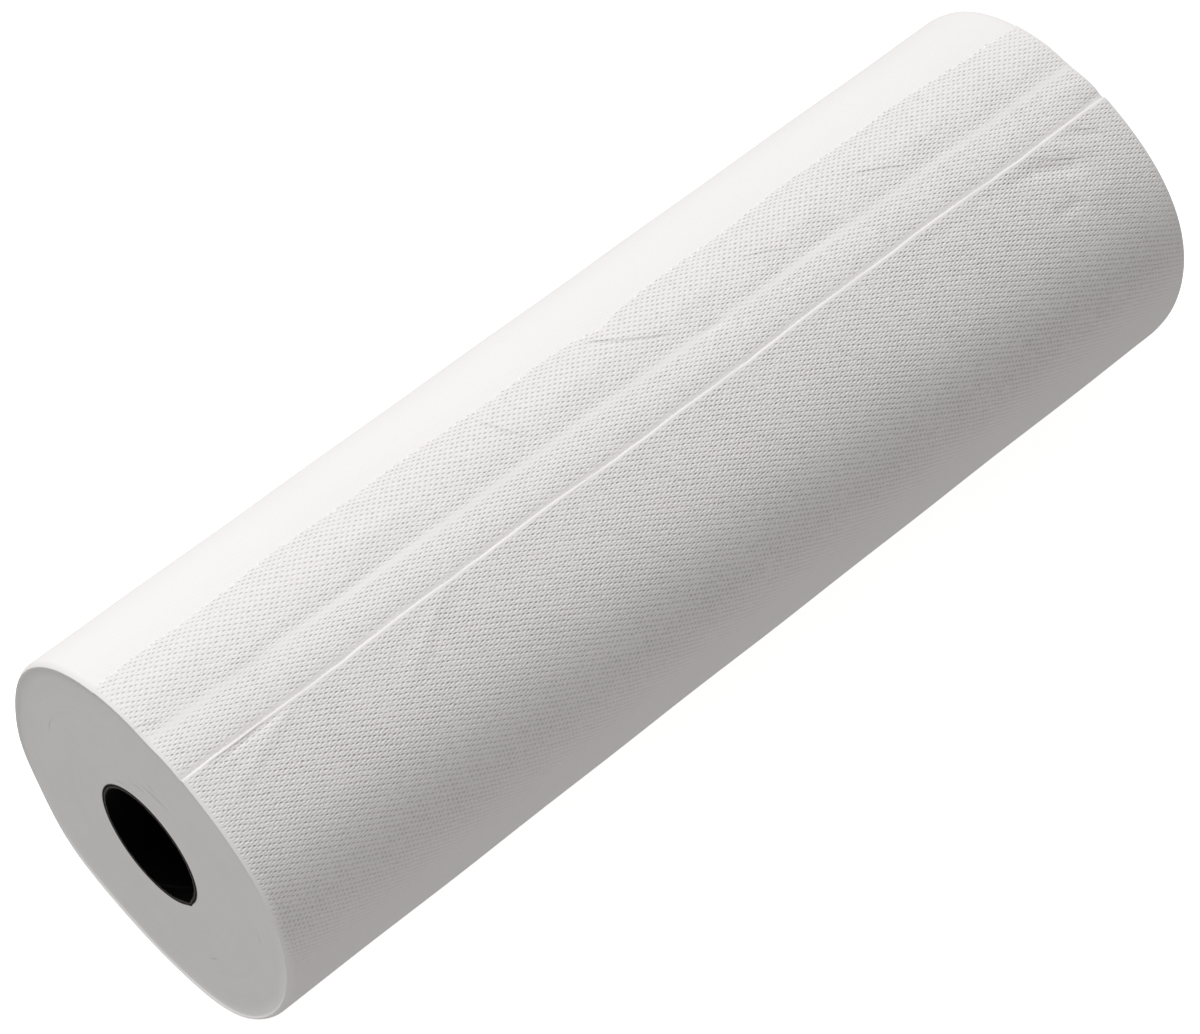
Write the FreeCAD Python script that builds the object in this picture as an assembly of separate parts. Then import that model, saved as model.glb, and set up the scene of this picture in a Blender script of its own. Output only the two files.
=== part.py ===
import FreeCAD, Part
import math
import os

# Couch roll of embossed two-ply paper, lying on its side. All sizes in mm.
# X runs along the roll, Z is up, and the roll rests on its flat at z = 0.
# Angles are in degrees round X, from +Y towards +Z.

# Overall sizes
roll_width = 390.0              # length of the roll along its axis
mean_radius = 65.2              # mean radius of the wound section

# Cardboard core
core_outer_radius = 21.9
core_wall = 1.3
core_setback = 0.4              # how far the core ends sit inside the wound ends
core_clearance = 0.05           # radial, between the core and the first turn

# Soft section: five pressed-out shoulders as angle, height, half width
shoulders = (
    (-47.0, 3.8, 16.9),
    (-119.5, 3.0, 21.6),
    (149.9, 3.7, 29.4),
    (60.3, 2.6, 34.5),
    (-14.1, 1.9, 15.0),
)
shoulder_lift = 1.3             # what the shoulders add to the mean radius
flat_press = 1.55               # how far the flat is pressed into the section

# Tail of the outer turn, on top of the roll
tear_angle = 74.0               # where the torn edge lies
tear_step = 0.35                # height of the torn edge, one two-ply sheet
furrow_angle = 96.9             # bottom of the soft furrow pressed into the tail
furrow_depth = 0.9
furrow_before = 7.5             # degrees, its half width on the torn edge's side
furrow_after = 5.0              # degrees, its half width on the fold's side
fold_angle = 110.7              # sharp fold
fold_step = 0.5
fold_lean = 0.3                 # degrees the riser of the fold takes up
fold_groove = 0.5               # groove at the foot of the fold
groove_spread = 1.9             # degrees, half width of the groove
step_fade = 11.0                # degrees over which each step settles back

# Wander of the torn line along the roll
tear_sway = 0.9
tear_sway_length = 200.0
tear_wave = 0.4
tear_wave_length = 53.0
tear_wave_start = 44.0          # from the near end
nick_depth = 2.0                # one deeper bite near the middle
nick_place = 201.0              # from the near end
nick_half_width = 6.0
far_bite_depth = 1.8            # the tear falls back towards the far end
far_bite_length = 25.0

# Wound ends
end_length = 2.4                # stretch over which the outer turns round off
near_end_depth = 1.2            # how far they draw in at the very end
far_end_depth = 0.4

# Building values
strip_depth = 6.0               # how deep the tail strip is let into the roll
strip_spare = 4.0               # degrees of strip past the tear and the fold
soft_spacing = 5.0              # degrees between the soft outline's places
tail_spacing = 1.1
tear_spacing = 4.5
end_steps = 3                   # sections between an end and the full roll
cut_spare = 1.0                 # how far a cut runs past the ends
tear_cut_reach = 12.0           # how far the torn line's cut runs above and below the tear
flat_left_search = (-130.0, -93.0)      # degrees, from below the flat's level to above it
flat_right_search = (-50.0, -88.0)
halvings = 60

# Worked out from the sizes above
core_bore_radius = core_outer_radius - core_wall
flat_height = mean_radius - flat_press
x_axis = FreeCAD.Vector(1.0, 0.0, 0.0)


def wrapped(angle):
    return (angle + 180.0) % 360.0 - 180.0


def soft_radius(angle):
    """Radius of the wound section before the tail's steps."""
    radius = mean_radius - shoulder_lift
    for centre, height, spread in shoulders:
        away = wrapped(angle - centre) / spread
        radius += height * math.exp(-away * away)
    return radius


def settled(away):
    """Share of a step still left so many degrees away from it."""
    return math.exp(-abs(away) / step_fade)


def pressed_in(angle):
    """Depth of the furrow and of the fold's groove."""
    to_furrow = angle - furrow_angle
    spread = furrow_before
    if to_furrow > 0.0:
        spread = furrow_after
    furrow = furrow_depth * math.exp(-(to_furrow / spread) ** 2)
    groove = fold_groove * math.exp(-((angle - fold_angle) / groove_spread) ** 2)
    return furrow + groove


def tail_radius(angle):
    """Face of the tail between the tear and the foot of the fold."""
    radius = soft_radius(angle) - pressed_in(angle)
    radius -= 0.5 * fold_step * settled(angle - fold_angle)
    return radius + 0.5 * tear_step * settled(angle - tear_angle)


def under_radius(angle):
    """Face of the turn beneath, bare up to the tear and then under the tail."""
    radius = soft_radius(angle) - pressed_in(angle)
    radius -= 0.5 * fold_step * settled(angle - fold_angle)
    from_tear = 0.5 * tear_step * settled(angle - tear_angle)
    if angle < tear_angle:
        return radius - from_tear
    return radius + from_tear - tear_step


def buried_radius(angle):
    """Underside of the modelled tail strip, well inside the roll."""
    return soft_radius(angle) - strip_depth


def outer_radius(angle):
    """Face of the outer turn, from the top of the fold round to the flat."""
    return soft_radius(angle) + 0.5 * fold_step * settled(angle - fold_angle)


def place(angle, radius):
    """Point of the section, before it is set on the table."""
    turn = math.radians(angle)
    return FreeCAD.Vector(0.0, radius * math.cos(turn), radius * math.sin(turn))


def level_angle(start, stop):
    """Angle between two angles at which the section meets the flat."""
    for _ in range(halvings):
        middle = 0.5 * (start + stop)
        if place(middle, soft_radius(middle)).z > -flat_height:
            start = middle
        else:
            stop = middle
    return 0.5 * (start + stop)


def face_curve(radius_at, start, stop, spacing, inset):
    """Smooth curve along one stretch of the section."""
    count = round(abs(stop - start) / spacing)
    points = []
    for step in range(count + 1):
        angle = start + (stop - start) * step / count
        points.append(place(angle, radius_at(angle) - inset))
    marks = [step / count for step in range(count + 1)]
    curve = Part.BSplineCurve()
    curve.interpolate(Points=points, Parameters=marks)
    return curve.toShape()


def joined(first, second):
    """Straight edge from the end of one curve to the start of the next."""
    return Part.makeLine(first.valueAt(first.LastParameter), second.valueAt(second.FirstParameter))


def roll_section(inset):
    """Whole section: outer turn, flat, turn beneath the tail and the fold."""
    left = level_angle(*flat_left_search) + 360.0
    right = level_angle(*flat_right_search)
    outer = face_curve(outer_radius, fold_angle + fold_lean, left, soft_spacing, inset)
    under = face_curve(under_radius, right, fold_angle, soft_spacing, inset)
    return [outer, joined(outer, under), under, joined(under, outer)]


def strip_section(inset):
    """The torn sheet of the tail, let into the roll below it."""
    start = tear_angle - strip_spare
    stop = fold_angle + strip_spare
    face = face_curve(tail_radius, start, stop, tail_spacing, inset)
    inner = face_curve(buried_radius, stop, start, soft_spacing, inset)
    return [face, joined(face, inner), inner, joined(inner, face)]


def at_x(edges, x):
    wire = Part.Wire(edges)
    wire.translate(FreeCAD.Vector(x, 0.0, 0.0))
    return wire


def wound_body(section):
    """Section run along the roll, its ends rounded over."""
    near = []
    far = []
    for step in range(end_steps + 1):
        share = step / end_steps
        drawn_in = (1.0 - share) ** 2
        near.append(at_x(section(near_end_depth * drawn_in), end_length * share))
        far.append(at_x(section(far_end_depth * drawn_in), roll_width - end_length * share))
    run = FreeCAD.Vector(roll_width - 2.0 * end_length, 0.0, 0.0)
    caps = [Part.makeLoft(near, True, False), Part.makeLoft(far, True, False)]
    return Part.Face(near[-1]).extrude(run).multiFuse(caps).removeSplitter()


def tear_line(x):
    """How far the torn line stands back from its mean place, in mm."""
    back = tear_sway * math.cos(2.0 * math.pi * x / tear_sway_length)
    back += tear_wave * math.cos(2.0 * math.pi * (x - tear_wave_start) / tear_wave_length)
    back += nick_depth * math.exp(-((x - nick_place) / nick_half_width) ** 2)
    back += far_bite_depth * math.exp(-((x - roll_width) / far_bite_length) ** 2)
    return back


def torn_strip():
    """Tail strip trimmed to the wandering torn line."""
    strip = wound_body(strip_section)
    foot = place(tear_angle, mean_radius)
    points = []
    count = round(roll_width / tear_spacing)
    for step in range(count + 1):
        x = -cut_spare + (roll_width + 2.0 * cut_spare) * step / count
        points.append(FreeCAD.Vector(x, foot.y - tear_line(x), foot.z - tear_cut_reach))
    curve = Part.BSplineCurve()
    curve.interpolate(points)
    line = curve.toShape()
    back = FreeCAD.Vector(0.0, -mean_radius, 0.0)
    side = Part.makeLine(points[-1], points[-1] + back)
    rear = Part.makeLine(points[-1] + back, points[0] + back)
    close = Part.makeLine(points[0] + back, points[0])
    keep = Part.Face(Part.Wire([line, side, rear, close]))
    return strip.common(keep.extrude(FreeCAD.Vector(0.0, 0.0, 2.0 * tear_cut_reach)))


def make_web():
    """All the turns of paper, one solid, with the hole for the core."""
    web = wound_body(roll_section).fuse(torn_strip())
    start = FreeCAD.Vector(-cut_spare, 0.0, 0.0)
    length = roll_width + 2.0 * cut_spare
    hole = Part.makeCylinder(core_outer_radius + core_clearance, length, start, x_axis)
    return web.cut(hole).removeSplitter()


def make_core():
    """Cardboard tube, set back from both wound ends."""
    length = roll_width - 2.0 * core_setback
    start = FreeCAD.Vector(core_setback, 0.0, 0.0)
    tube = Part.makeCylinder(core_outer_radius, length, start, x_axis)
    bore_start = FreeCAD.Vector(core_setback - cut_spare, 0.0, 0.0)
    bore_length = length + 2.0 * cut_spare
    return tube.cut(Part.makeCylinder(core_bore_radius, bore_length, bore_start, x_axis))


def main():
    os.makedirs("parts", exist_ok=True)
    web = make_web()
    box = web.optimalBoundingBox()
    middle_y = 0.5 * (box.YMin + box.YMax)
    to_table = FreeCAD.Vector(-0.5 * roll_width, -middle_y, flat_height)
    for name, shape in (("paper_web", web), ("core_tube", make_core())):
        shape.translate(to_table)
        shape.exportStep("parts/" + name + ".step")
        print(name, shape.isValid(), len(shape.Solids), round(shape.Volume), shape.BoundBox)
    print("axis at y", round(-middle_y, 3), "z", round(flat_height, 3))


main()
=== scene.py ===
import math

import bmesh
import bpy
import numpy as np
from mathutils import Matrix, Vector


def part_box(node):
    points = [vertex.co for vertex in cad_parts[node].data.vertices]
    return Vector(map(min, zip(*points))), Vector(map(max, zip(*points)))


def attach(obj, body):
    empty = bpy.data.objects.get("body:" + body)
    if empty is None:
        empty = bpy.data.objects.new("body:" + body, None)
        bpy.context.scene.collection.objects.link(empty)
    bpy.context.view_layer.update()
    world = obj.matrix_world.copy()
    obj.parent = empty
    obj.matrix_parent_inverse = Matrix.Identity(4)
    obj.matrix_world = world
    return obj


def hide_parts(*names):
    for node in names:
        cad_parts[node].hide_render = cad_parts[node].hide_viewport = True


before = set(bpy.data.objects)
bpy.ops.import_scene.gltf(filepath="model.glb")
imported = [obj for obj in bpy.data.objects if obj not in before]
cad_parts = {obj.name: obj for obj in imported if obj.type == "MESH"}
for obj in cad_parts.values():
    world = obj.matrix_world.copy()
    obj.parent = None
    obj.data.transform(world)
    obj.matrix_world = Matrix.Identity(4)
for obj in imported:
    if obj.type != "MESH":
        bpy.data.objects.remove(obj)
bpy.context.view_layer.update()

scene = bpy.context.scene
webLow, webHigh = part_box("paper_web")
coreLow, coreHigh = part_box("core_tube")
nearEnd = webLow.x                          # metres, the end that faces the camera
axisY = (coreLow.y + coreHigh.y) / 2
axisZ = (coreLow.z + coreHigh.z) / 2
rollLength = (webHigh.x - webLow.x) * 1000  # mm
print("frame loaded")


class Wire:
    # one output of a shader tree; arithmetic on it adds Math nodes
    def __init__(self, tree, socket=None):
        self.tree = tree
        self.socket = socket

    def node(self, kind, settings, inputs, output=0):
        # settings first, then each socket's value or link
        made = self.tree.nodes.new(kind)
        for name, value in settings.items():
            setattr(made, name, value)
        for name, value in inputs.items():
            socket = made.inputs[name]
            if isinstance(value, Wire):
                self.tree.links.new(value.socket, socket)
            elif socket.type == "RGBA" and len(value) == 3:
                socket.default_value = (*value, 1.0)
            else:
                socket.default_value = value
        return Wire(self.tree, made.outputs[output] if made.outputs else None)

    def maths(self, operation, *values):
        return self.node("ShaderNodeMath", {"operation": operation}, dict(enumerate(values)))

    def __add__(self, other):
        return self.maths("ADD", self, other)

    def __radd__(self, other):
        return self.maths("ADD", other, self)

    def __sub__(self, other):
        return self.maths("SUBTRACT", self, other)

    def __rsub__(self, other):
        return self.maths("SUBTRACT", other, self)

    def __mul__(self, other):
        return self.maths("MULTIPLY", self, other)

    def __rmul__(self, other):
        return self.maths("MULTIPLY", other, self)

    def __truediv__(self, other):
        return self.maths("DIVIDE", self, other)

    def __rtruediv__(self, other):
        return self.maths("DIVIDE", other, self)

    def __pow__(self, other):
        return self.maths("POWER", self, other)

    def __rpow__(self, other):
        return self.maths("POWER", other, self)

    def __neg__(self):
        return self.maths("MULTIPLY", self, -1.0)

    def cos(self):
        return self.maths("COSINE", self)

    def sin(self):
        return self.maths("SINE", self)

    def hump(self):
        # 1 at zero, falling away smoothly on both sides
        return self.maths("EXPONENT", -(self * self))

    def rise(self, low, high):
        # smoothly from 0 to 1
        return self.node("ShaderNodeMapRange", {"interpolation_type": "SMOOTHSTEP"},
                         {"Value": self, "From Min": low, "From Max": high})

    def noise(self, place, scale, detail=2.0, roughness=0.5):
        # centred on zero, about -0.5 to 0.5
        inputs = {"Vector": place, "Scale": scale, "Detail": detail, "Roughness": roughness}
        return self.node("ShaderNodeTexNoise", {"noise_dimensions": "3D"}, inputs) - 0.5

    def place(self, x, y, z=0.0):
        return self.node("ShaderNodeCombineXYZ", {}, {"X": x, "Y": y, "Z": z})

    def carried(self, name):
        # a number that the mesh carries on each point
        return self.node("ShaderNodeAttribute", {"attribute_name": name}, {}, "Fac")

    def blend(self, share, first, second):
        # sockets 0, 6 and 7 are a Mix node's factor and its two colours
        return self.node("ShaderNodeMix", {"data_type": "RGBA"}, {0: share, 6: first, 7: second}, 2)

    def tinted(self, colour, value):
        return self.node("ShaderNodeHueSaturation", {}, {"Color": colour, "Value": value})


def newLook(name):
    # an empty node material and the Wire that builds in it
    material = bpy.data.materials.new(name)
    material.use_nodes = True
    material.node_tree.nodes.clear()
    return material, Wire(material.node_tree)


def finishLook(wire, constants, colour, roughness, height=None):
    # constants go straight on the shader's own sockets; heights are in mm
    inputs = dict(constants)
    inputs["Base Color"] = colour
    inputs["Roughness"] = roughness
    if height is not None:
        bump = {"Strength": 1.0, "Distance": 0.001, "Height": height}
        inputs["Normal"] = wire.node("ShaderNodeBump", {}, bump)
    shader = wire.node("ShaderNodeBsdfPrincipled", {}, inputs)
    wire.node("ShaderNodeOutputMaterial", {}, {"Surface": shader})


def rollPlace(wire):
    # the point itself, then mm along the roll, mm round it from the top, mm from the core axis
    seen = wire.node("ShaderNodeTexCoord", {}, {}, "Object")
    x, y, z = [wire.node("ShaderNodeSeparateXYZ", {}, {"Vector": seen}, axis) for axis in "XYZ"]
    along, sideways, upwards = (x - nearEnd) * 1000, (y - axisY) * 1000, (z - axisZ) * 1000
    turn = wire.maths("ARCTAN2", -sideways, upwards)
    radius = wire.maths("SQRT", sideways * sideways + upwards * upwards)
    return seen, along, turn * web["meanRadius"], radius


def ring(start, count):
    # the numbers of a closed ring of points, with the first one repeated
    return [*range(start, start + count), start]


def strip(first, second):
    # four-sided faces between two rows of points
    return list(zip(first, second, second[1:], first[1:]))


def addMesh(name, points, faces, materials, faceLook):
    mesh = bpy.data.meshes.new(name)
    mesh.from_pydata([tuple(p) for p in points], [], faces)
    for material in materials:
        mesh.materials.append(material)
    mesh.polygons.foreach_set("material_index", np.array(faceLook, np.int32))
    mesh.polygons.foreach_set("use_smooth", np.ones(len(faces), bool))
    piece = bpy.data.objects.new(name, mesh)
    scene.collection.objects.link(piece)
    return piece


def carryValue(piece, name, values):
    # a number on each point for a material to read; points past the last value get 0
    onPoints = np.zeros(len(piece.data.vertices), np.float32)
    onPoints[:values.size] = values.ravel()
    piece.data.attributes.new(name, "FLOAT", "POINT").data.foreach_set("value", onPoints)


# mm and degrees; angles run round the roll from +Y over the top
web = {
    "meanRadius": 65.2, "flatHeight": 63.65, "boreRadius": 21.95,
    # the section's soft shoulders: middle, height, spread
    "shoulders": [(-47, 3.8, 16.9), (-119.5, 3.0, 21.6), (149.9, 3.7, 29.4),
                  (60.3, 2.6, 34.5), (-14.1, 1.9, 15.0)],
    "shoulderLift": 1.3,
    "swells": (0.10, 0.07),                   # slow unevenness all over
    "settle": 11.0,                           # degrees in which a step dies away
    "tear": 74.0, "tearStep": 0.35,
    "tearWaves": [(0.9, 200, 0), (0.4, 53, 44)],            # height, length, start
    "tearBites": [(201, 6, 2.0), (rollLength, 25, 1.8)],    # place, half length, depth
    "toothLength": 3.42, "toothDepth": 1.4,   # the tear runs along the embossed rows and jumps back
    "tuftSize": 0.38,
    "furrow": 96.9, "furrowDepth": 0.9, "furrowBefore": 7.5, "furrowAfter": 5.0,
    "fold": 110.45, "foldStep": 0.5, "foldGroove": 0.65, "grooveSpread": 1.3,
    "foldWaves": [(0.34, 173, 0.6), (0.17, 58, 2.0)],       # height, length, start in radians
    "foldKinks": 0.13,
    "tearReach": 12, "toothReach": 3, "foldReach": 6,       # mm of sheet that moves with each
    "foldBead": 0.20, "foldDrop": 0.34, "foldBeadRise": 0.40, "foldBeadFade": 4.5,
    "beadPinch": 0.28,
    "endLength": 2.4, "nearEndDepth": 1.2, "farEndDepth": 0.35,
    "lipWidth": 0.85, "lipHeight": 0.50,      # the outermost turns stand proud of the end face
    "lipShape": [(0.25, 0.0), (0.42, 0.13), (0.62, 0.5), (0.82, 0.87), (1.0, 1.0)],     # shares of both
    "faceRings": [4.0, 13.0, 28.0],           # in from the rim
    "columnSpacing": 0.85, "sharpBend": 28,
}
perDegree = math.radians(1) * web["meanRadius"]             # mm of sheet in one degree

# soft marks in the sheet: along, angle, half length, half width, heading, height
softMarks = [
    # puckers between the torn edge and the furrow
    (24, 84, 9, 3.5, 0, 0.22), (38, 93.4, 8, 2.8, 0, 0.42), (54, 92.0, 7, 2.0, 0, 0.24),
    (6, 93.0, 5, 2.0, 20, 0.20), (78, 93.0, 8, 2.5, 0, 0.22), (97, 86.5, 14, 3.6, 0, 0.36),
    (84, 95.4, 27, 1.8, 0, -0.26), (120, 93.0, 7, 1.8, 0, 0.20), (176, 86.0, 12, 3.6, 5, 0.32),
    (176, 94.6, 12, 2.0, 0, -0.20), (193, 92.8, 5, 1.6, 0, 0.18), (227, 86.5, 8, 3.2, 0, 0.32),
    (248, 92.0, 8, 3.0, 0, 0.25), (278, 86.5, 9, 3.4, 0, 0.36), (278, 94.6, 10, 2.0, 0, -0.22),
    (296, 92.5, 7, 3.0, 0, 0.22), (329, 86.5, 12, 3.4, 0, 0.34), (329, 94.6, 12, 2.0, 0, -0.20),
    (352, 91.0, 8, 3.0, 0, 0.14), (375, 90.0, 8, 3.0, 0, 0.18),
    # in the furrow and just above the fold
    (228, 97.0, 5, 1.2, 6, -0.55), (80, 108.6, 9, 1.4, 0, -0.16), (24, 107.0, 3, 2.0, 70, 0.10),
    (387, 109.4, 6, 1.8, 0, -0.45), (381, 103.0, 7, 2.2, 8, 0.25), (366, 102.5, 7, 1.4, 60, -0.35),
    # folds that run in from the near end
    (25, 117.0, 17, 2.2, -21, 0.28), (25, 112.5, 15, 0.8, -2, -0.42), (88, 118.2, 17, 2.2, -30, 0.24),
    # long slack lines down the side
    (162, 135, 13, 1.5, 58, -0.10), (216, 129, 18, 1.5, 60, -0.11), (262, 134, 15, 1.5, 58, -0.10),
    (188, 131, 14, 1.8, 56, -0.06), (229, 133, 10, 1.8, 52, -0.05), (287, 135, 9, 1.8, 50, -0.05),
    (308, 114.8, 9, 1.8, 5, -0.22), (332, 114.6, 7, 1.8, 10, -0.22), (317, 138, 7, 1.8, 45, -0.06),
    # dents near the far end
    (375, 116.5, 6, 1.6, 38, -0.50), (366, 116.0, 7, 2.2, 40, 0.40), (357, 118.8, 10, 2.5, 28, -1.10),
    (354, 130.4, 6, 1.8, 6, -0.40), (366, 131.5, 9, 3.0, 10, 0.22), (345, 116.2, 5, 1.9, 20, -0.32),
]


def settled(away):
    # share of a step still left so many degrees away
    return np.exp(-np.abs(away) / web["settle"])


def softRadius(angle):
    total = web["meanRadius"] - web["shoulderLift"] + 0 * angle
    for middle, height, spread in web["shoulders"]:
        turn = (angle - middle + 180) % 360 - 180
        total = total + height * np.exp(-(turn / spread) ** 2)
    return total


def tearWander(along):
    # how far the torn line strays towards the fold, in mm
    total = 0 * along
    for height, length, start in web["tearWaves"]:
        total = total + height * np.cos(2 * np.pi * (along - start) / length)
    for middle, halfLength, depth in web["tearBites"]:
        total = total + depth * np.exp(-((along - middle) / halfLength) ** 2)
    return total


def tearTeeth(along):
    # a saw edge: along one embossed row, then back to the next, with ragged tufts
    drift = 1.1 * np.sin(along / 7.3) + 0.9 * np.sin(along / 3.1 + 1.0) + 0.8 * np.sin(along / 17 + 2)
    share = ((along + drift) / web["toothLength"]) % 1.0
    size = 0.55 + 0.45 * np.sin(along / 11.7 + 0.4) * np.sin(along / 5.3)
    tufts = np.sin(along * 2.9 + 3 * np.sin(along / 4.1)) * np.sin(along / 2.3 + 2 * np.sin(along / 9.0))
    return web["toothDepth"] * (size * (share - 0.5) + web["tuftSize"] * tufts)


def foldWander(along):
    # how far the fold strays round the roll, in mm
    total = 0 * along
    for height, length, start in web["foldWaves"]:
        total = total + height * np.sin(2 * np.pi * along / length + start)
    kinks = np.sin(along / 3.7 + 2 * np.sin(along / 9.1)) * np.sin(along / 13.0)
    return total + web["foldKinks"] * kinks


def webRows():
    # each row is its angle and the turn it lies on: 0 beneath the tail, 1 the tail, 2 the outer turn
    tear, fold = web["tear"], web["fold"]
    rows = [(a, 0) for a in np.arange(-90, 20, 3.2)]
    rows += [(a, 0) for a in np.arange(20.5, 66, 2.0)]
    rows += [(a, 0) for a in np.arange(66.5, 72.6, 1.0)]
    # close together at the tear and at the fold
    rows += [(tear - d, 0) for d in (0.9, 0.5, 0.2, 0.01)]
    rows += [(tear + d, 1) for d in (0.01, 0.2, 0.5, 1.0, 1.8, 2.6)]
    rows += [(a, 1) for a in np.arange(77.5, 107.0, 0.95)]
    rows += [(fold - d, 1) for d in (2.9, 2.4, 1.9, 1.4, 0.95, 0.55, 0.25, 0.01)]
    rows += [(fold + d, 2) for d in (0.01, 0.10, 0.19, 0.28, 0.37, 0.47, 0.6, 0.8, 1.1, 1.5, 2.0, 2.6)]
    rows += [(a, 2) for a in np.arange(113.8, 136, 0.95)]
    rows += [(a, 2) for a in np.arange(137, 165, 1.7)]
    rows += [(a, 2) for a in np.arange(167, 268, 3.2)]
    return rows


def webColumns():
    # mm along the roll, closer together over the rounded ends
    near = np.array([0, 0.15, 0.4, 0.8, 1.3, 1.85])
    count = int((rollLength - 2 * web["endLength"]) / web["columnSpacing"])
    middle = np.linspace(web["endLength"], rollLength - web["endLength"], count)
    return np.concatenate([near, middle, rollLength - near[::-1]])


def webFace(angle, turn, along):
    # distance from the axis of the sheet's face, mm
    toTear, toFurrow, toFold = angle - web["tear"], angle - web["furrow"], angle - web["fold"]
    radius = softRadius(angle)
    foldStep = 0.5 * web["foldStep"] * settled(toFold)
    tearStep = 0.5 * web["tearStep"] * settled(toTear)
    beneath = radius - foldStep - tearStep
    tail = radius - foldStep + tearStep
    spread = np.where(toFurrow < 0, web["furrowBefore"], web["furrowAfter"])
    tail = tail - web["furrowDepth"] * np.exp(-(toFurrow / spread) ** 2)
    tail = tail - web["foldGroove"] * np.exp(-np.abs(toFold) / web["grooveSpread"])
    # the folded edge is rounded: it starts low and rises to a bead, pinched here and there
    pastFold = np.maximum(toFold, 0) * perDegree
    rounded = np.exp(-(pastFold / web["foldBeadRise"]) ** 2)
    raised = web["foldBead"] * (1 - rounded) * np.exp(-pastFold / web["foldBeadFade"])
    pinch = 1 - web["beadPinch"] * (1 - np.sin(along / 6.0) * np.sin(along / 17.0 + 1.0))
    outer = radius + foldStep + pinch * (raised - web["foldDrop"] * rounded)
    return np.where(turn == 0, beneath, np.where(turn == 1, tail, outer))


def markHeight(along, angle):
    # the soft marks and a slow unevenness, mm
    turn = np.radians(angle)
    broad, narrow = web["swells"]
    total = broad * np.sin(along / 23 + 2 * turn) * np.sin(3 * turn + 1.0)
    total = total + narrow * np.sin(along / 11 - 5 * turn + 0.7)
    for middle, place, halfLength, halfWidth, heading, height in softMarks:
        right = along - middle
        down = (angle - place) * perDegree
        c, s = math.cos(math.radians(heading)), math.sin(math.radians(heading))
        u = (right * c + down * s) / halfLength
        v = (-right * s + down * c) / halfWidth
        total = total + height * np.exp(-u * u * np.abs(u) - v * v)
    return total


def webGrid():
    # the sheet's outer face, a row for each angle and a column for each step along
    nominal, turn = np.array(webRows()).T[:, :, None]
    along = webColumns()[None, :] + 0 * nominal
    # rows follow the torn line and the fold as they wander
    fromTear = (nominal - web["tear"]) * perDegree
    fromFold = (nominal - web["fold"]) * perDegree
    shift = tearWander(along) * np.exp(-(fromTear / web["tearReach"]) ** 2)
    shift = shift + tearTeeth(along) * np.exp(-(fromTear / web["toothReach"]) ** 2)
    shift = shift * (fromFold < -web["foldReach"])
    shift = shift + foldWander(along) * np.exp(-(fromFold / web["foldReach"]) ** 2)
    angle = nominal + shift / perDegree
    radius = webFace(nominal, turn, along) + softRadius(angle) - softRadius(nominal)
    radius = radius + markHeight(along, angle)
    # the outer turns round off at both ends
    fromEnd = np.minimum(along, rollLength - along)
    share = np.clip(fromEnd / web["endLength"], 0, 1)
    depth = np.where(along < rollLength / 2, web["nearEndDepth"], web["farEndDepth"])
    radius = radius - depth * (1 - share) ** 2
    turned = np.radians(angle)
    up = np.maximum(radius * np.sin(turned), -web["flatHeight"])
    outer = np.stack([along, radius * np.cos(turned), up], -1)
    return outer, turned, nominal, turn, along, fromEnd


def endRings(edge, turned, side):
    # rings of points from the rim in to the bore: first the lip, then the flat face
    # at the near end the bore makes room for the core's lapped corner
    away = (np.degrees(turned) - core["cornerAngle"] + 180) % 360 - 180
    corner = core["cornerHeight"] * np.exp(-(away / core["cornerSpread"]) ** 2)
    radius = web["boreRadius"] + (side > 0) * corner
    bore = np.stack([edge[:, 0], radius * np.cos(turned), radius * np.sin(turned)], -1)
    reach = np.linalg.norm(bore - edge, axis=1)
    steps = [(across * web["lipWidth"], deep * web["lipHeight"]) for across, deep in web["lipShape"]]
    steps += [(across, web["lipHeight"]) for across in web["faceRings"] + [math.inf]]
    for across, deep in steps:
        share = np.minimum(across / reach, 1)[:, None]
        yield edge * (1 - share) + bore * share + np.array([side * deep, 0, 0])


def buildWeb(looks):
    outer, turned, nominal, turn, along, fromEnd = webGrid()
    rowCount, columnCount = along.shape
    points, faces = list(outer.reshape(-1, 3)), []
    for i in range(rowCount):
        here, following = i * columnCount, (i + 1) % rowCount * columnCount
        faces += strip(range(here, here + columnCount), range(following, following + columnCount))
    sheetFaces = len(faces)
    # the wound ends, and the bore between them that holds the core
    rims = []
    for column, side in ((0, 1), (columnCount - 1, -1)):
        last = [i * columnCount + column for i in range(rowCount)] + [column]
        for made in endRings(outer[:, column], turned[:, column], side):
            following = ring(len(points), rowCount)
            points += list(made)
            faces += [face[::side] for face in strip(last, following)]
            last = following
        rims.append(last)
    faces += strip(*rims)
    points = np.array(points) * 0.001 + np.array([nearEnd, axisY, axisZ])
    faceLook = [0] * sheetFaces + [1] * (len(faces) - sheetFaces)
    piece = addMesh("paperWeb", points, faces, looks, faceLook)
    # the dots fade out over the rounded rims
    rim = np.clip((fromEnd - hold["rimFrom"]) / hold["rimReach"], 0, 1)
    carryValue(piece, "embossShare", embossShare(nominal, turn, along) * rim)
    carryValue(piece, "foldShade", foldShade(nominal, turn) + 0 * along)

    # points under a hundredth of a millimetre apart are joined
    shape = bmesh.new()
    shape.from_mesh(piece.data)
    bmesh.ops.remove_doubles(shape, verts=shape.verts, dist=0.00001)
    shape.to_mesh(piece.data)
    shape.free()
    piece.data.set_sharp_from_angle(angle=math.radians(web["sharpBend"]))
    return piece


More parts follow.
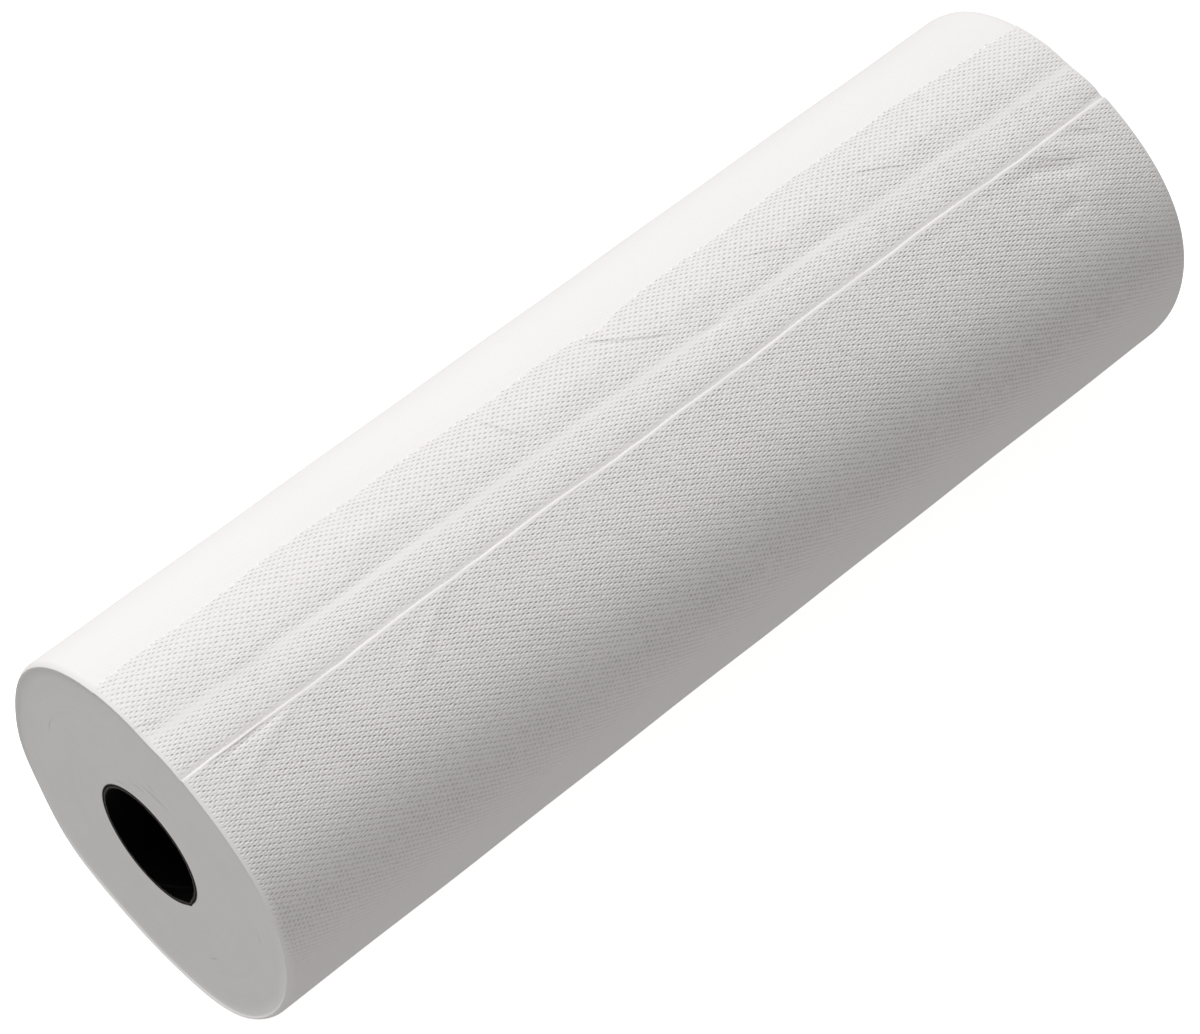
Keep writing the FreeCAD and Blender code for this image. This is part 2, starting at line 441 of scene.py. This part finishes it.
# mm; the embossed rows close exactly round the roll
emboss = {
    "columnPitch": 1.4136, "rowsRound": 229, "columnShift": 0.7395,
    # the raised pattern as waves: height, and how far round its turn each starts, in radians
    "raised": {"row": (0.041, 0.13), "cross": (0.029, 1.20), "double": (0.048, -0.76),
               "fine": (0.027, -0.95), "back": (0.016, -0.40)},
    # the dashes of painted shade in the embossed dimples: how much each wave gathers them, and how dark it
    # is between them
    "gathered": {"row": 0.42, "column": 0.035, "cross": 0.165, "double": 0.10},
    "between": 0.86, "sharpness": 4.1,
    "wideAt": -17.0, "wideReach": 11.0, "widening": 2.6,    # the rows open out towards the torn edge
    "strayAlong": 0.90, "strayRound": 0.60,     # how far single dashes sit out of place
    "dashUneven": 1.6, "patchUneven": 0.6,
    "crumple": 0.25,                            # unevenness between the dashes
    "streak": 0.050, "plainStreak": 0.12,       # slack between the rows, and its share where it is plain
    "fibreHeight": 0.024, "plainFibre": 0.6, "fibreScale": 2600,
    # the second colour is painted shade: it darkens the embossed dimples and the hair creases
    "paper": (0.925, 0.912, 0.905), "pressed": (0.60, 0.585, 0.575),
    "pressedShade": 1.06, "embossedLift": 0.010, "foldShade": 0.12, "creaseShade": 0.9,
    "fleck": 0.05, "cloud": 0.025,
    "roughness": 0.86, "roughnessRange": 0.12, "specular": 0.10,
}

# how strongly the sheet holds its embossing, and so how much painted shade its dimples get, as shares;
# places and reaches in degrees
hold = {
    "smoothTop": 0.10, "back": 0.75, "backFrom": 34, "backReach": 24,
    "furrowReach": 1.3, "furrowLoss": 0.76, "furrowUneven": 0.16,
    "foldBeside": 0.45, "footReach": 0.95, "footLoss": 0.9, "beadReach": 0.75, "shadeReach": 0.9,
    "slack": 0.18, "slackFrom": 78, "slackReach": 20,       # by the torn edge
    # the embossing, and with it the painted dimple shade, fades on the underside, away from the key lamp
    "underside": 194, "undersideReach": 26, "undersideLoss": 0.80,
    "alongAt": [0, 0.9, 1], "along": [0.84, 1.12, 0.88],    # near end to far end
    "rimFrom": 0.4, "rimReach": 1.4,                        # mm in from each end
}

# hair creases in the sheet: first end along and angle, last end along and angle, bow, half width, depth
hairCreases = [
    (194, 77.5, 215, 91.2, 1.1, 0.50, 0.34),
    (149, 78.5, 155.5, 91.0, 0.6, 0.45, 0.20),
    (252, 85.0, 268, 92.3, -0.5, 0.45, 0.20),
    (302, 84.5, 319, 92.8, -0.7, 0.55, 0.26),
    (0, 91.7, 8, 94.8, 0.0, 0.45, 0.15),
    (155, 124.0, 169, 144.5, 0.6, 0.50, 0.10),
    (205, 112.5, 226, 143.5, 1.2, 0.50, 0.10),
    (254, 122.0, 271, 146.0, 0.8, 0.50, 0.10),
    (180, 119.0, 195, 142.0, 0.6, 0.55, 0.09),
    (222, 124.0, 236, 141.0, 0.5, 0.55, 0.07),
    (280, 127.0, 292, 142.0, 0.5, 0.55, 0.07),
    (312, 132.0, 323, 143.0, 0.4, 0.55, 0.06),
    (353, 112.8, 368, 121.5, 0.4, 0.50, 0.20),
    (371, 112.0, 381, 118.5, 0.0, 0.45, 0.10),
    (9, 111.7, 30, 111.6, 0.2, 0.38, 0.16),
    (132, 112.0, 163, 111.3, 0.0, 0.30, 0.07),
    (46, 92.0, 46.5, 131.0, 0.0, 0.55, 0.06),
]


def plateau(away, reach):
    # 1 in the middle and steeply down to 0 past the reach
    return np.exp(-(away / reach) ** 4)


def embossShare(angle, turn, along):
    # how strongly the embossing stands in each part of the sheet
    toBack = np.clip((hold["backFrom"] - angle) / hold["backReach"], 0, 1)
    beneath = hold["smoothTop"] + hold["back"] * toBack
    loss = hold["furrowLoss"] + hold["furrowUneven"] * np.sin(along / 14 + 2 * np.sin(along / 37))
    tail = 1 - plateau(angle - web["furrow"], hold["furrowReach"]) * loss
    foot, bead = web["fold"] - hold["foldBeside"], web["fold"] + hold["foldBeside"]
    tail = tail * (1 - plateau(angle - foot, hold["footReach"]) * hold["footLoss"])
    taut = np.clip((angle - hold["slackFrom"]) / hold["slackReach"], 0, 1)
    tail = tail * (1 - hold["slack"] * (1 - taut))
    outer = 1 - plateau(angle - bead, hold["beadReach"])
    outer = outer * (1 - hold["undersideLoss"] * plateau(angle - hold["underside"], hold["undersideReach"]))
    share = np.where(turn == 0, beneath, np.where(turn == 1, tail, outer))
    return share * np.interp(along / rollLength, hold["alongAt"], hold["along"])


def foldShade(angle, turn):
    # painted shade: the sheet is painted darkest right at the foot of the fold, where the groove's shadow
    # lies
    return np.where(turn == 1, np.exp(-np.abs(angle - web["fold"]) / hold["shadeReach"]), 0.0)


def creasedBy(along, around):
    # all the hair creases as one depth, mm
    creased = 0.0
    for alongA, angleA, alongB, angleB, bow, halfWidth, depth in hairCreases:
        roundA = math.radians(angleA - 90) * web["meanRadius"]
        roundB = math.radians(angleB - 90) * web["meanRadius"]
        span = math.hypot(alongB - alongA, roundB - roundA)
        c, s = (alongB - alongA) / span, (roundB - roundA) / span
        fromMiddle = along - (alongA + alongB) / 2
        fromRound = around - (roundA + roundB) / 2
        down = (fromMiddle * c + fromRound * s) / (span / 2)
        inside = down * down
        away = (fromRound * c - fromMiddle * s - (1 - inside) * bow) / halfWidth
        creased = away.hump() * (inside * inside).hump() * depth + creased
    return creased


def embossedPaperLook():
    material, wire = newLook("embossedPaper")
    seen, along, around, _ = rollPlace(wire)
    # the same noises read aside come out unrelated
    aside = wire.node("ShaderNodeVectorMath", {"operation": "ADD"}, {0: seen, 1: (0.4, 0.7, 0.2)})
    # single dashes stray a little from their places
    strayedAlong = along + wire.noise(seen, 480, 1.0) * emboss["strayAlong"]
    strayedRound = around + wire.noise(aside, 480, 1.0) * emboss["strayRound"]
    column = strayedAlong / emboss["columnPitch"]
    opened = ((around - emboss["wideAt"]) / emboss["wideReach"]).hump() * emboss["widening"]
    row = strayedRound + opened - column * emboss["columnShift"]
    # from here both count in radians, a full turn for each row and each column
    row = row * (emboss["rowsRound"] / web["meanRadius"])
    column = column * (2 * math.pi)
    turns = {"row": row, "column": column, "cross": row + column, "double": row * 2 + column,
             "fine": row * 2, "back": row - column}
    waves = 0.0
    for name, (size, start) in emboss["raised"].items():
        waves = (turns[name] + start).sin() * size + waves
    dash = 0.0
    for name, size in emboss["gathered"].items():
        dash = turns[name].cos() * size + dash
    peak = emboss["between"] + sum(emboss["gathered"].values())
    dash = wire.maths("MAXIMUM", dash + emboss["between"], 0) / peak
    share, fold = wire.carried("embossShare"), wire.carried("foldShade")
    uneven = 1 + wire.noise(aside, 420, 2.0) * emboss["dashUneven"]
    uneven = uneven + wire.noise(seen, 55, 2.0) * emboss["patchUneven"]
    # painted shade in the embossed dimples, strongest in the middle of each dash
    pressed = dash ** emboss["sharpness"] * share * uneven

    height = -(waves * share * uneven)
    dents = wire.place(along * 0.75 + around * 0.1, around * 1.5 - along * 0.3)
    height = height + wire.noise(dents, 1.0, 2.0, 0.6) * share * emboss["crumple"]
    # slack streaks follow the slanting rows
    slanting = wire.place(along * 0.42 + around * 0.22, around * 1.30 - along * 0.68)
    streaks = wire.noise(slanting, 1.0, 3.0, 0.55)
    height = height + streaks * emboss["streak"] * (emboss["plainStreak"] + share)
    fibres = wire.noise(seen, emboss["fibreScale"], 2.0, 0.6)
    height = height + fibres * emboss["fibreHeight"] * (emboss["plainFibre"] + share)
    # hair creases: dented into the sheet, and also painted darker as the shade in them
    creased = creasedBy(along, around)
    height = height - creased

    # painted shade: the dimples and the hair creases are coloured darker where shade falls in them
    darker = pressed * emboss["pressedShade"] + creased * emboss["creaseShade"]
    colour = wire.blend(darker, emboss["paper"], emboss["pressed"])
    fleck = wire.noise(seen, 1400, 2.0, 0.7) * emboss["fleck"] + wire.noise(seen, 25, 2.0) * emboss["cloud"]
    # random flecks, a slight lift where embossed, and the painted shade at the foot of the fold
    colour = wire.tinted(colour, 1 + fleck + share * emboss["embossedLift"] - fold * emboss["foldShade"])
    rough = emboss["roughness"] + wire.noise(seen, 900, 2.0) * emboss["roughnessRange"]
    finishLook(wire, {"Specular IOR Level": emboss["specular"]}, colour, rough, height)
    return material


# the sawn ends of the wound turns; mm
cutEnd = {
    "paper": (0.935, 0.930, 0.918), "shade": (0.86, 0.855, 0.842), "scuffed": (0.56, 0.47, 0.45),
    # painted shadow: a near black ring on the end face next to the bore, for the gap round the core
    "boreGapShadow": (0.004, 0.003, 0.003), "coreShadow": (0.05, 0.55),
    # how much of the shade shows, and what each size of grain adds
    "shaded": 0.35, "broad": 0.5, "fine": 0.35, "mottle": 0.7, "grain": 0.5,
    "turnDrift": 0.9, "scuffWaver": 0.8, "layerHeight": 0.05, "grainHeight": 0.03, "scuffDepth": 0.08,
    "roughness": 0.9, "roughnessRange": 0.08, "specular": 0.12,
}

# faint scuffs on the end face: angle, distance from the axis, half length, half width, slant, strength
scuffs = [
    (101, 33.6, 5.0, 0.24, 0.22, 1.00), (88, 29.4, 3.0, 0.22, 0.10, 0.80),
    (98, 36.6, 2.4, 0.26, -0.30, 0.60), (63, 24.6, 2.0, 0.20, 0.00, 0.50),
    (232, 43.0, 2.5, 0.26, 0.10, 0.50), (318, 30.0, 3.5, 0.22, -0.10, 0.40),
    (20, 48.0, 4.0, 0.24, 0.12, 0.40), (172, 52.0, 3.0, 0.24, 0.05, 0.40),
]


def cutPaperEndLook():
    material, wire = newLook("cutPaperEnd")
    seen, _, around, radius = rollPlace(wire)
    # turns of the sheet, seen edge on, drift a little as they go round
    turns = wire.place(radius + wire.noise(seen, 18, 2.0) * cutEnd["turnDrift"], around * 0.010)
    broad = wire.noise(turns, 0.55, 3.0, 0.65)
    fine = wire.noise(turns, 3.2, 2.0, 0.6)
    mottle = wire.noise(seen, 38, 3.0, 0.6)
    grain = wire.noise(seen, 1300, 2.0, 0.6)
    shade = cutEnd["shaded"] + broad * cutEnd["broad"] + fine * cutEnd["fine"]
    shade = shade + mottle * cutEnd["mottle"] + grain * cutEnd["grain"]
    colour = wire.blend(shade.rise(0.0, 1.0), cutEnd["paper"], cutEnd["shade"])
    scuffed = 0.0
    for angle, distance, halfLength, halfWidth, slant, strength in scuffs:
        down = (around - math.radians(angle - 90) * web["meanRadius"]) * (distance / web["meanRadius"])
        waver = wire.noise(seen, 300, 1.0) * cutEnd["scuffWaver"]
        line = (radius - distance - down * slant + waver) / halfWidth
        scuffed = line.hump() * (down / halfLength).hump() * strength + scuffed
    colour = wire.blend(scuffed, colour, cutEnd["scuffed"])
    # painted shadow of the gap between the wound paper and the core
    darkFrom, darkTo = [web["boreRadius"] + away for away in cutEnd["coreShadow"]]
    colour = wire.blend(1 - radius.rise(darkFrom, darkTo), colour, cutEnd["boreGapShadow"])
    height = (fine * 0.6 + broad) * cutEnd["layerHeight"] + grain * cutEnd["grainHeight"]
    height = height - scuffed * cutEnd["scuffDepth"]
    rough = cutEnd["roughness"] + fine * cutEnd["roughnessRange"]
    finishLook(wire, {"Specular IOR Level": cutEnd["specular"]}, colour, rough, height)
    return material


# mm and degrees; the tube sits just inside the wound ends
core = {
    "outerRadius": 21.88, "innerRadius": 20.6, "around": 112, "sharpBend": 50,
    "cornerAngle": -143, "cornerHeight": 0.75, "cornerSpread": 6, "cornerReach": 12,
    # rings in from each end, along the wall and through its thickness as shares
    "endRings": [0.0, 0.4, 1.2, 3.0, 7.0, 14.0, 30.0], "middleFrom": 60, "middleRings": 7,
    "wallRings": [0.15, 0.5, 0.85],
    "cutBack": 0.10, "cutBulge": 0.02, "fuzz": 0.06, "fineFuzz": 0.05, "fuzzReach": 0.5,
    # painted shade: the liner is the board's own dark colour darkened further for the shade inside the
    # tube; the outer ply is painted near black as the shadow of the gap round the tube
    "liner": (0.0010, 0.0007, 0.0007), "outerPlyShadow": (0.004, 0.003, 0.003), "plyChange": (0.3, 0.7),
    "cutEdge": (0.085, 0.070, 0.070), "cutFrom": (0.14, 0.26), "cutTo": (0.58, 0.70),
    "seamPitch": 68.0, "seamWidth": 0.5, "seamDepth": 0.12,
    "seamColour": (0.01, 0.008, 0.008), "seamShade": 0.5,
    "plyTurns": 19, "plyShade": 0.30, "fibreShade": 0.5, "grainShade": 0.4,
    "fibreHeight": 0.08, "grainHeight": 0.05,
    "roughness": 0.85, "roughnessRange": 0.2, "specular": 0.03,
}


def coreBoardLook():
    material, wire = newLook("coreBoard")
    seen, along, around, radius = rollPlace(wire)
    fibres = wire.noise(wire.place(along * 0.5, around * 1.6, radius * 3), 1.0, 4.0, 0.65)
    grain = wire.noise(seen, 900, 3.0, 0.6)
    ply = wire.carried("ply")
    middle = ply.rise(*core["cutFrom"]) * (1 - ply.rise(*core["cutTo"]))
    # from the liner to the outer ply, both near black with painted shade
    colour = wire.blend(ply.rise(*core["plyChange"]), core["liner"], core["outerPlyShadow"])
    colour = wire.blend(middle, colour, core["cutEdge"])
    # the liner is wound as a spiral strip with a narrow butt seam, counted from well before the tube
    wound = along / core["seamPitch"] + around / (2 * math.pi * web["meanRadius"])
    seam = (wire.maths("FRACT", wound + 40) - 0.5) * (core["seamPitch"] / core["seamWidth"])
    colour = wire.blend(seam.hump() * core["seamShade"], colour, core["seamColour"])
    plies = (ply * core["plyTurns"] + fibres * 2).cos() * middle
    shade = fibres * core["fibreShade"] + 1 + grain * core["grainShade"]
    colour = wire.tinted(colour, shade + plies * core["plyShade"])
    height = fibres * core["fibreHeight"] + grain * core["grainHeight"] - seam.hump() * core["seamDepth"]
    rough = core["roughness"] + grain * core["roughnessRange"]
    finishLook(wire, {"Specular IOR Level": core["specular"]}, colour, rough, height)
    return material


def buildCore(look):
    around = core["around"]
    angles = np.arange(around) * 2 * np.pi / around
    low, high = (coreLow.x - nearEnd) * 1000, (coreHigh.x - nearEnd) * 1000
    inward = np.array(core["endRings"])
    middle = np.linspace(low + core["middleFrom"], high - core["middleFrom"], core["middleRings"])
    columns = np.concatenate([low + inward, middle, high - inward[::-1]])
    away = (np.degrees(angles) - core["cornerAngle"] + 180) % 360 - 180
    fuzz = core["fuzz"] * np.sin(angles * 17 + 1) * np.sin(angles * 5)
    fuzz = fuzz + core["fineFuzz"] * np.sin(angles * 41)

    def loop(x, radius):
        # where the board laps, the near end is pushed out to a soft corner
        corner = core["cornerHeight"] * np.exp(-(away / core["cornerSpread"]) ** 2)
        r = radius + corner * math.exp(-((x - low) / core["cornerReach"]) ** 2)
        atEnd = math.exp(-min(x - low, high - x) / core["fuzzReach"])
        side = 1 if x < rollLength / 2 else -1
        x = x + side * (core["cutBack"] + fuzz) * atEnd
        return np.stack([x, r * np.cos(angles), r * np.sin(angles)], -1)

    # round the wall: in along the liner, out along the outer ply
    wall = core["outerRadius"] - core["innerRadius"]
    loops = [loop(x, core["innerRadius"]) for x in columns]
    nearCut, farCut = low - core["cutBulge"], high + core["cutBulge"]
    loops += [loop(farCut, core["innerRadius"] + wall * s) for s in core["wallRings"]]
    loops += [loop(x, core["outerRadius"]) for x in columns[::-1]]
    loops += [loop(nearCut, core["outerRadius"] - wall * s) for s in core["wallRings"]]
    points = np.concatenate(loops) * 0.001 + np.array([nearEnd, axisY, axisZ])
    faces = []
    for k in range(len(loops)):
        faces += strip(ring(k * around, around), ring((k + 1) % len(loops) * around, around))
    piece = addMesh("coreTube", points, faces, [look], [0] * len(faces))
    # how far through the wall each ring lies: 0 the liner, 1 the outer ply
    ply = [0.0] * len(columns) + core["wallRings"] + [1.0] * len(columns) + core["wallRings"][::-1]
    carryValue(piece, "ply", np.repeat(ply, around))
    shape = bmesh.new()
    shape.from_mesh(piece.data)
    bmesh.ops.recalc_face_normals(shape, faces=shape.faces)
    shape.to_mesh(piece.data)
    shape.free()
    piece.data.set_sharp_from_angle(angle=math.radians(core["sharpBend"]))
    return piece


paperWeb = buildWeb([embossedPaperLook(), cutPaperEndLook()])
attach(paperWeb, "root")
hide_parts("paper_web")
print("wound paper built:", len(paperWeb.data.polygons), "faces")

coreTube = buildCore(coreBoardLook())
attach(coreTube, "root")
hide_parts("core_tube")
print("core built:", len(coreTube.data.polygons), "faces")


# metres and watts
studio = {
    "floorColour": (0.93, 0.93, 0.93), "floorCloud": (0.90, 0.90, 0.90), "floorGlow": 0.71,
    # a flat disc whose rim sweeps up far away: distance and height
    "floorProfile": [(0.6, 0.0), (2.0, 0.0), (4.0, 0.0), (5.5, 0.1), (6.4, 0.5), (6.9, 1.3), (7.0, 3.0)],
    # where each lamp stands, how far away, its power and its size
    "keyLamp": ((-0.145, 0.464, 0.874), 2.5, 43.4, 1.4),
    "fillLamp": ((-0.70, -0.71, 0.06), 2.5, 5.0, 1.0),
    "tentStrength": 0.334, "tentColour": (1.0, 0.970, 0.963),
}


def buildFloor():
    around = 64
    turned = [2 * math.pi * i / around for i in range(around)]
    points = [(0.0, 0.0, 0.0)]
    for distance, height in studio["floorProfile"]:
        points += [(distance * math.cos(a), distance * math.sin(a), height) for a in turned]
    rings = [ring(1 + k * around, around) for k in range(len(studio["floorProfile"]))]
    faces = [(0, first, second) for first, second in zip(rings[0], rings[0][1:])]
    for inner, outer in zip(rings, rings[1:]):
        faces += strip(inner, outer)
    material, wire = newLook("studioFloor")
    seen = wire.node("ShaderNodeTexCoord", {}, {}, "Object")
    colour = wire.blend(wire.noise(seen, 3.0) + 0.5, studio["floorColour"], studio["floorCloud"])
    finishLook(wire, {"Emission Color": (1, 1, 1, 1), "Emission Strength": studio["floorGlow"],
                      "Specular IOR Level": 0.1}, colour, 0.8)
    floor = addMesh("studioFloor", points, faces, [material], [0] * len(faces))
    # the floor takes the shadow but throws no light back, as under a light tent
    floor.visible_diffuse = False
    floor.visible_shadow = False


def addLamp(name, direction, away, power, size):
    # a round soft box that faces the middle of the roll
    light = bpy.data.lights.new(name, "AREA")
    light.shape = "DISK"
    light.size = size
    light.energy = power
    lamp = bpy.data.objects.new(name, light)
    lamp.location = Vector(direction).normalized() * away + Vector((0, 0, axisZ))
    lamp.rotation_mode = "QUATERNION"
    lamp.rotation_quaternion = Vector(direction).to_track_quat("Z", "Y")
    scene.collection.objects.link(lamp)


buildFloor()
for lampName in ("keyLamp", "fillLamp"):
    addLamp(lampName, *studio[lampName])
world = bpy.data.worlds.new("softTent")
world.use_nodes = True
background = world.node_tree.nodes["Background"]
background.inputs["Color"].default_value = (*studio["tentColour"], 1.0)
background.inputs["Strength"].default_value = studio["tentStrength"]
scene.world = world

# metres, with the lens in millimetres
cameraPlace = {"at": (-0.5818, -0.6101, 1.1577), "looks": (0.41518, 0.44181, -0.79526), "lens": 129.57}
cameraData = bpy.data.cameras.new("camera")
cameraData.lens = cameraPlace["lens"]
cameraData.sensor_width = 36
camera = bpy.data.objects.new("camera", cameraData)
camera.location = cameraPlace["at"]
camera.rotation_mode = "QUATERNION"
camera.rotation_quaternion = Vector(cameraPlace["looks"]).to_track_quat("-Z", "Y")
scene.collection.objects.link(camera)
scene.camera = camera
scene.view_settings.view_transform = "Standard"
print("studio and camera ready")
